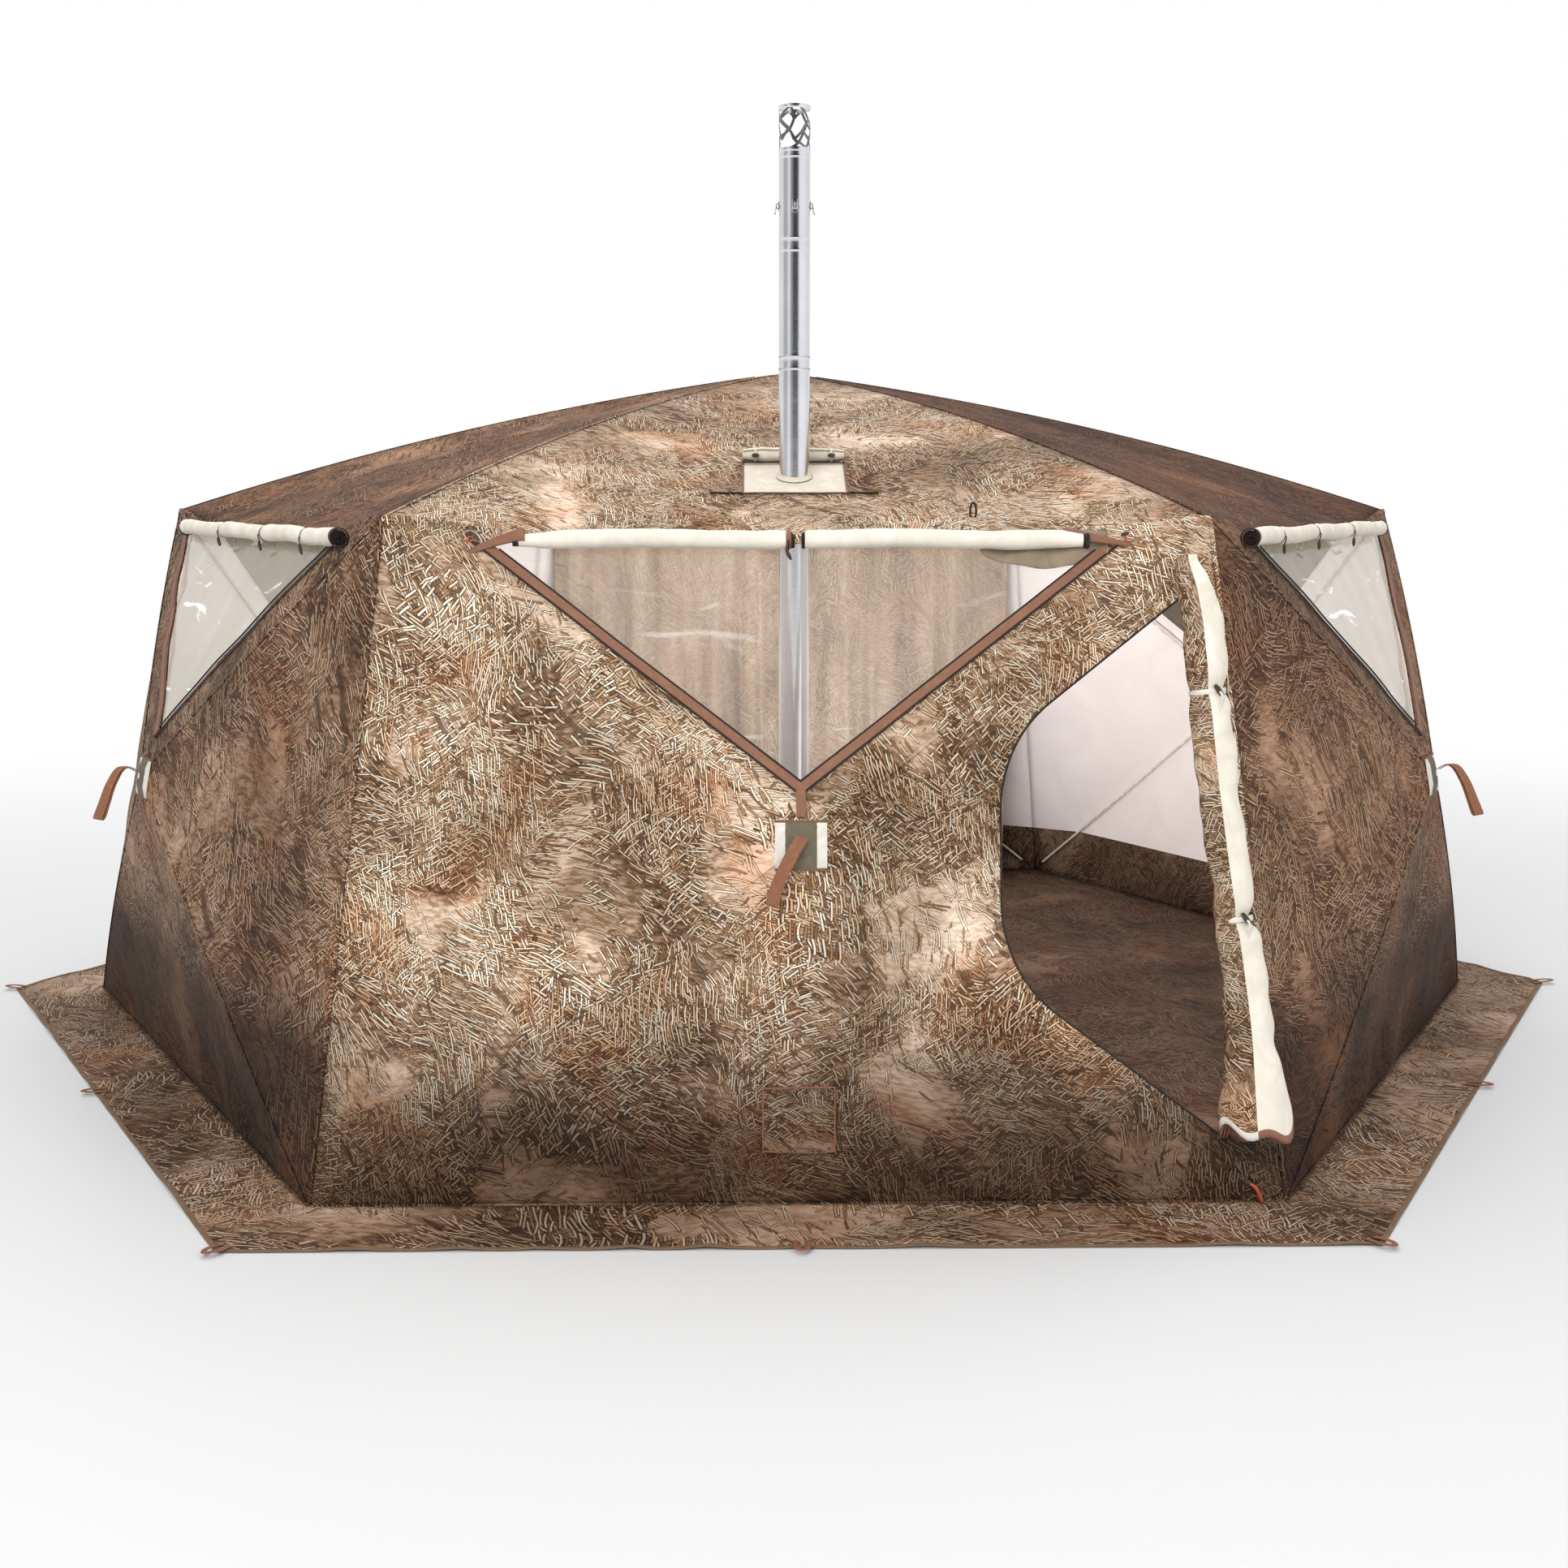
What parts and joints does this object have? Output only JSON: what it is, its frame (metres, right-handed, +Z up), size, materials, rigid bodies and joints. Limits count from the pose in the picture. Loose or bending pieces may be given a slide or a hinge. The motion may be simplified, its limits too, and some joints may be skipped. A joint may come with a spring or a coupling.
{
  "type": "four-season tent",
  "caption": "Six-sided pop-up hub tent with pole-sprung walls and roof, film windows, rolled door, snow skirt and a stove pipe through its roof jack.",
  "frame": {"origin": "middle of the floor, at ground level", "axes": "+Z up, -Y out through the wall with the door, +X to the right seen from the door"},
  "size_m": [4.9542, 4.2906, 2.495],
  "materials": {
    "camouflage": null,
    "cream_cloth": "padded lining cloth, pale side out",
    "floor_cloth": "coated cloth",
    "curtain_cloth": "thin brown cloth, hanging in folds",
    "clear_film": "clear flexible film",
    "jack_cloth": "heat-proof glass cloth",
    "moulded_plastic": "moulded nylon",
    "glass_fibre": "pultruded glass fibre",
    "steel": "rolled stainless sheet"
  },
  "bodies": {
    "shell": {"groundsheet": "floor_cloth", "snow_skirt": "camouflage", "back_curtain": "curtain_cloth", "roof": "camouflage", "stove_jack": "jack_cloth", "jack_cover_roll": "jack_cloth", "door_roll": "cream_cloth", "window_roll_front_left_half": "cream_cloth", "window_roll_front_right_half": "cream_cloth", "window_roll_front_left": "cream_cloth", "window_roll_front_right": "cream_cloth", "wall_front": "camouflage", "wall_front_right": "camouflage", "wall_back_right": "camouflage", "wall_back": "camouflage", "wall_back_left": "camouflage", "wall_front_left": "camouflage", "window_pane_front": "clear_film", "window_pane_front_right": "clear_film", "window_pane_front_left": "clear_film"},
    "hub_front": {"hub_front": "moulded_plastic"},
    "pole_front_upper_right": {"pole_front_upper_right": "glass_fibre"},
    "pole_front_upper_left": {"pole_front_upper_left": "glass_fibre"},
    "pole_front_lower_left": {"pole_front_lower_left": "glass_fibre"},
    "pole_front_lower_right": {"pole_front_lower_right": "glass_fibre"},
    "hub_front_right": {"hub_front_right": "moulded_plastic"},
    "pole_front_right_upper_right": {"pole_front_right_upper_right": "glass_fibre"},
    "pole_front_right_upper_left": {"pole_front_right_upper_left": "glass_fibre"},
    "pole_front_right_lower_left": {"pole_front_right_lower_left": "glass_fibre"},
    "pole_front_right_lower_right": {"pole_front_right_lower_right": "glass_fibre"},
    "hub_back_right": {"hub_back_right": "moulded_plastic"},
    "pole_back_right_upper_right": {"pole_back_right_upper_right": "glass_fibre"},
    "pole_back_right_upper_left": {"pole_back_right_upper_left": "glass_fibre"},
    "pole_back_right_lower_left": {"pole_back_right_lower_left": "glass_fibre"},
    "pole_back_right_lower_right": {"pole_back_right_lower_right": "glass_fibre"},
    "hub_back": {"hub_back": "moulded_plastic"},
    "pole_back_upper_right": {"pole_back_upper_right": "glass_fibre"},
    "pole_back_upper_left": {"pole_back_upper_left": "glass_fibre"},
    "pole_back_lower_left": {"pole_back_lower_left": "glass_fibre"},
    "pole_back_lower_right": {"pole_back_lower_right": "glass_fibre"},
    "hub_back_left": {"hub_back_left": "moulded_plastic"},
    "pole_back_left_upper_right": {"pole_back_left_upper_right": "glass_fibre"},
    "pole_back_left_upper_left": {"pole_back_left_upper_left": "glass_fibre"},
    "pole_back_left_lower_left": {"pole_back_left_lower_left": "glass_fibre"},
    "pole_back_left_lower_right": {"pole_back_left_lower_right": "glass_fibre"},
    "hub_front_left": {"hub_front_left": "moulded_plastic"},
    "pole_front_left_upper_right": {"pole_front_left_upper_right": "glass_fibre"},
    "pole_front_left_upper_left": {"pole_front_left_upper_left": "glass_fibre"},
    "pole_front_left_lower_left": {"pole_front_left_lower_left": "glass_fibre"},
    "pole_front_left_lower_right": {"pole_front_left_lower_right": "glass_fibre"},
    "roof_hub": {"roof_hub": "moulded_plastic"},
    "roof_pole_front_left": {"roof_pole_front_left": "glass_fibre"},
    "roof_pole_front_right": {"roof_pole_front_right": "glass_fibre"},
    "roof_pole_right": {"roof_pole_right": "glass_fibre"},
    "roof_pole_back_right": {"roof_pole_back_right": "glass_fibre"},
    "roof_pole_back_left": {"roof_pole_back_left": "glass_fibre"},
    "roof_pole_left": {"roof_pole_left": "glass_fibre"},
    "lower_pipe": {"chimney_lower_pipe": "steel"},
    "upper_pipe": {"chimney_upper_pipe": "steel"},
    "spark_arrestor": {"spark_arrestor": "steel"}
  },
  "joints": [
    {"name": "hub_front_slide", "type": "slide", "parent": "shell", "child": "hub_front", "axis": [0, -0.984, 0.1782], "range_m": [-0.41786, 0], "deforming": ["wall_front", "window_pane_front"]},
    {"name": "pole_front_upper_right_hinge", "type": "hinge", "parent": "hub_front", "child": "pole_front_upper_right", "pos_m": [0.0236, -1.9534, 0.85769], "axis": [0.6172, -0.1402, -0.7742], "range_deg": [0, 20.36]},
    {"name": "pole_front_upper_left_hinge", "type": "hinge", "parent": "hub_front", "child": "pole_front_upper_left", "pos_m": [-0.0236, -1.9534, 0.85769], "axis": [0.6172, 0.1402, 0.7742], "range_deg": [0, 20.36]},
    {"name": "pole_front_lower_left_hinge", "type": "hinge", "parent": "hub_front", "child": "pole_front_lower_left", "pos_m": [-0.02409, -1.95988, 0.82188], "axis": [-0.596, 0.1431, 0.7901], "range_deg": [0, 17.74]},
    {"name": "pole_front_lower_right_hinge", "type": "hinge", "parent": "hub_front", "child": "pole_front_lower_right", "pos_m": [0.02409, -1.95988, 0.82188], "axis": [-0.596, -0.1431, -0.7901], "range_deg": [0, 17.74]},
    {"name": "hub_front_right_slide", "type": "slide", "parent": "shell", "child": "hub_front_right", "axis": [0.8522, -0.492, 0.1782], "range_m": [-0.41786, 0], "deforming": ["wall_front_right", "window_pane_front_right"]},
    {"name": "pole_front_right_upper_right_hinge", "type": "hinge", "parent": "hub_front_right", "child": "pole_front_right_upper_right", "pos_m": [1.70349, -0.95626, 0.85769], "axis": [0.43, 0.4644, -0.7742], "range_deg": [0, 20.36]},
    {"name": "pole_front_right_upper_left_hinge", "type": "hinge", "parent": "hub_front_right", "child": "pole_front_right_upper_left", "pos_m": [1.67989, -0.99714, 0.85769], "axis": [0.1872, 0.6046, 0.7742], "range_deg": [0, 20.36]},
    {"name": "pole_front_right_lower_left_hinge", "type": "hinge", "parent": "hub_front_right", "child": "pole_front_right_lower_left", "pos_m": [1.68527, -1.0008, 0.82188], "axis": [-0.4219, -0.4446, 0.7901], "range_deg": [0, 17.74]},
    {"name": "pole_front_right_lower_right_hinge", "type": "hinge", "parent": "hub_front_right", "child": "pole_front_right_lower_right", "pos_m": [1.70935, -0.95908, 0.82188], "axis": [-0.1741, -0.5877, -0.7901], "range_deg": [0, 17.74]},
    {"name": "hub_back_right_slide", "type": "slide", "parent": "shell", "child": "hub_back_right", "axis": [0.8522, 0.492, 0.1782], "range_m": [-0.41786, 0], "deforming": ["wall_back_right"]},
    {"name": "pole_back_right_upper_right_hinge", "type": "hinge", "parent": "hub_back_right", "child": "pole_back_right_upper_right", "pos_m": [1.67989, 0.99714, 0.85769], "axis": [-0.1872, 0.6046, -0.7742], "range_deg": [0, 20.36]},
    {"name": "pole_back_right_upper_left_hinge", "type": "hinge", "parent": "hub_back_right", "child": "pole_back_right_upper_left", "pos_m": [1.70349, 0.95626, 0.85769], "axis": [-0.43, 0.4644, 0.7742], "range_deg": [0, 20.36]},
    {"name": "pole_back_right_lower_left_hinge", "type": "hinge", "parent": "hub_back_right", "child": "pole_back_right_lower_left", "pos_m": [1.70935, 0.95908, 0.82188], "axis": [0.1741, -0.5877, 0.7901], "range_deg": [0, 17.74]},
    {"name": "pole_back_right_lower_right_hinge", "type": "hinge", "parent": "hub_back_right", "child": "pole_back_right_lower_right", "pos_m": [1.68527, 1.0008, 0.82188], "axis": [0.4219, -0.4446, -0.7901], "range_deg": [0, 17.74]},
    {"name": "hub_back_slide", "type": "slide", "parent": "shell", "child": "hub_back", "axis": [0, 0.984, 0.1782], "range_m": [-0.41786, 0], "deforming": ["wall_back", "back_curtain"]},
    {"name": "pole_back_upper_right_hinge", "type": "hinge", "parent": "hub_back", "child": "pole_back_upper_right", "pos_m": [-0.0236, 1.9534, 0.85769], "axis": [-0.6172, 0.1402, -0.7742], "range_deg": [0, 20.36]},
    {"name": "pole_back_upper_left_hinge", "type": "hinge", "parent": "hub_back", "child": "pole_back_upper_left", "pos_m": [0.0236, 1.9534, 0.85769], "axis": [-0.6172, -0.1402, 0.7742], "range_deg": [0, 20.36]},
    {"name": "pole_back_lower_left_hinge", "type": "hinge", "parent": "hub_back", "child": "pole_back_lower_left", "pos_m": [0.02409, 1.95988, 0.82188], "axis": [0.596, -0.1431, 0.7901], "range_deg": [0, 17.74]},
    {"name": "pole_back_lower_right_hinge", "type": "hinge", "parent": "hub_back", "child": "pole_back_lower_right", "pos_m": [-0.02409, 1.95988, 0.82188], "axis": [0.596, 0.1431, -0.7901], "range_deg": [0, 17.74]},
    {"name": "hub_back_left_slide", "type": "slide", "parent": "shell", "child": "hub_back_left", "axis": [-0.8522, 0.492, 0.1782], "range_m": [-0.41786, 0], "deforming": ["wall_back_left"]},
    {"name": "pole_back_left_upper_right_hinge", "type": "hinge", "parent": "hub_back_left", "child": "pole_back_left_upper_right", "pos_m": [-1.70349, 0.95626, 0.85769], "axis": [-0.43, -0.4644, -0.7742], "range_deg": [0, 20.36]},
    {"name": "pole_back_left_upper_left_hinge", "type": "hinge", "parent": "hub_back_left", "child": "pole_back_left_upper_left", "pos_m": [-1.67989, 0.99714, 0.85769], "axis": [-0.1872, -0.6046, 0.7742], "range_deg": [0, 20.36]},
    {"name": "pole_back_left_lower_left_hinge", "type": "hinge", "parent": "hub_back_left", "child": "pole_back_left_lower_left", "pos_m": [-1.68527, 1.0008, 0.82188], "axis": [0.4219, 0.4446, 0.7901], "range_deg": [0, 17.74]},
    {"name": "pole_back_left_lower_right_hinge", "type": "hinge", "parent": "hub_back_left", "child": "pole_back_left_lower_right", "pos_m": [-1.70935, 0.95908, 0.82188], "axis": [0.1741, 0.5877, -0.7901], "range_deg": [0, 17.74]},
    {"name": "hub_front_left_slide", "type": "slide", "parent": "shell", "child": "hub_front_left", "axis": [-0.8522, -0.492, 0.1782], "range_m": [-0.41786, 0], "deforming": ["wall_front_left", "window_pane_front_left"]},
    {"name": "pole_front_left_upper_right_hinge", "type": "hinge", "parent": "hub_front_left", "child": "pole_front_left_upper_right", "pos_m": [-1.67989, -0.99714, 0.85769], "axis": [0.1872, -0.6046, -0.7742], "range_deg": [0, 20.36]},
    {"name": "pole_front_left_upper_left_hinge", "type": "hinge", "parent": "hub_front_left", "child": "pole_front_left_upper_left", "pos_m": [-1.70349, -0.95626, 0.85769], "axis": [0.43, -0.4644, 0.7742], "range_deg": [0, 20.36]},
    {"name": "pole_front_left_lower_left_hinge", "type": "hinge", "parent": "hub_front_left", "child": "pole_front_left_lower_left", "pos_m": [-1.70935, -0.95908, 0.82188], "axis": [-0.1741, 0.5877, 0.7901], "range_deg": [0, 17.74]},
    {"name": "pole_front_left_lower_right_hinge", "type": "hinge", "parent": "hub_front_left", "child": "pole_front_left_lower_right", "pos_m": [-1.68527, -1.0008, 0.82188], "axis": [-0.4219, 0.4446, -0.7901], "range_deg": [0, 17.74]},
    {"name": "roof_hub_slide", "type": "slide", "parent": "shell", "child": "roof_hub", "axis": [0, 0, 1], "range_m": [-0.79512, 0], "deforming": ["roof"]},
    {"name": "roof_pole_front_left_hinge", "type": "hinge", "parent": "roof_hub", "child": "roof_pole_front_left", "pos_m": [-0.015, -0.02598, 1.919], "axis": [-0.866, 0.5, 0], "range_deg": [0, 24.28]},
    {"name": "roof_pole_front_right_hinge", "type": "hinge", "parent": "roof_hub", "child": "roof_pole_front_right", "pos_m": [0.015, -0.02598, 1.919], "axis": [-0.866, -0.5, 0], "range_deg": [0, 24.28]},
    {"name": "roof_pole_right_hinge", "type": "hinge", "parent": "roof_hub", "child": "roof_pole_right", "pos_m": [0.03, 0, 1.919], "axis": [0, -1, 0], "range_deg": [0, 24.28]},
    {"name": "roof_pole_back_right_hinge", "type": "hinge", "parent": "roof_hub", "child": "roof_pole_back_right", "pos_m": [0.015, 0.02598, 1.919], "axis": [0.866, -0.5, 0], "range_deg": [0, 24.28]},
    {"name": "roof_pole_back_left_hinge", "type": "hinge", "parent": "roof_hub", "child": "roof_pole_back_left", "pos_m": [-0.015, 0.02598, 1.919], "axis": [0.866, 0.5, 0], "range_deg": [0, 24.28]},
    {"name": "roof_pole_left_hinge", "type": "hinge", "parent": "roof_hub", "child": "roof_pole_left", "pos_m": [-0.03, 0, 1.919], "axis": [0, 1, 0], "range_deg": [0, 24.28]},
    {"name": "lower_pipe_slide", "type": "slide", "parent": "shell", "child": "lower_pipe", "axis": [0, 0, 1], "range_m": [0, 1.05]},
    {"name": "upper_pipe_slide", "type": "slide", "parent": "lower_pipe", "child": "upper_pipe", "axis": [0, 0, 1], "range_m": [0, 0.05]},
    {"name": "spark_arrestor_slide", "type": "slide", "parent": "upper_pipe", "child": "spark_arrestor", "axis": [0, 0, 1], "range_m": [0, 0.05]}
  ],
  "couplings": [
    {"joint": "pole_front_upper_right_hinge", "follows": "hub_front_slide", "rad_per_m": -0.85034},
    {"joint": "pole_front_upper_left_hinge", "follows": "hub_front_slide", "rad_per_m": -0.85034},
    {"joint": "pole_front_lower_left_hinge", "follows": "hub_front_slide", "rad_per_m": -0.74114},
    {"joint": "pole_front_lower_right_hinge", "follows": "hub_front_slide", "rad_per_m": -0.74114},
    {"joint": "pole_front_right_upper_right_hinge", "follows": "hub_front_right_slide", "rad_per_m": -0.85034},
    {"joint": "pole_front_right_upper_left_hinge", "follows": "hub_front_right_slide", "rad_per_m": -0.85034},
    {"joint": "pole_front_right_lower_left_hinge", "follows": "hub_front_right_slide", "rad_per_m": -0.74114},
    {"joint": "pole_front_right_lower_right_hinge", "follows": "hub_front_right_slide", "rad_per_m": -0.74114},
    {"joint": "pole_back_right_upper_right_hinge", "follows": "hub_back_right_slide", "rad_per_m": -0.85034},
    {"joint": "pole_back_right_upper_left_hinge", "follows": "hub_back_right_slide", "rad_per_m": -0.85034},
    {"joint": "pole_back_right_lower_left_hinge", "follows": "hub_back_right_slide", "rad_per_m": -0.74114},
    {"joint": "pole_back_right_lower_right_hinge", "follows": "hub_back_right_slide", "rad_per_m": -0.74114},
    {"joint": "pole_back_upper_right_hinge", "follows": "hub_back_slide", "rad_per_m": -0.85034},
    {"joint": "pole_back_upper_left_hinge", "follows": "hub_back_slide", "rad_per_m": -0.85034},
    {"joint": "pole_back_lower_left_hinge", "follows": "hub_back_slide", "rad_per_m": -0.74114},
    {"joint": "pole_back_lower_right_hinge", "follows": "hub_back_slide", "rad_per_m": -0.74114},
    {"joint": "pole_back_left_upper_right_hinge", "follows": "hub_back_left_slide", "rad_per_m": -0.85034},
    {"joint": "pole_back_left_upper_left_hinge", "follows": "hub_back_left_slide", "rad_per_m": -0.85034},
    {"joint": "pole_back_left_lower_left_hinge", "follows": "hub_back_left_slide", "rad_per_m": -0.74114},
    {"joint": "pole_back_left_lower_right_hinge", "follows": "hub_back_left_slide", "rad_per_m": -0.74114},
    {"joint": "pole_front_left_upper_right_hinge", "follows": "hub_front_left_slide", "rad_per_m": -0.85034},
    {"joint": "pole_front_left_upper_left_hinge", "follows": "hub_front_left_slide", "rad_per_m": -0.85034},
    {"joint": "pole_front_left_lower_left_hinge", "follows": "hub_front_left_slide", "rad_per_m": -0.74114},
    {"joint": "pole_front_left_lower_right_hinge", "follows": "hub_front_left_slide", "rad_per_m": -0.74114},
    {"joint": "roof_pole_front_left_hinge", "follows": "roof_hub_slide", "rad_per_m": -0.53298},
    {"joint": "roof_pole_front_right_hinge", "follows": "roof_hub_slide", "rad_per_m": -0.53298},
    {"joint": "roof_pole_right_hinge", "follows": "roof_hub_slide", "rad_per_m": -0.53298},
    {"joint": "roof_pole_back_right_hinge", "follows": "roof_hub_slide", "rad_per_m": -0.53298},
    {"joint": "roof_pole_back_left_hinge", "follows": "roof_hub_slide", "rad_per_m": -0.53298},
    {"joint": "roof_pole_left_hinge", "follows": "roof_hub_slide", "rad_per_m": -0.53298}
  ]
}
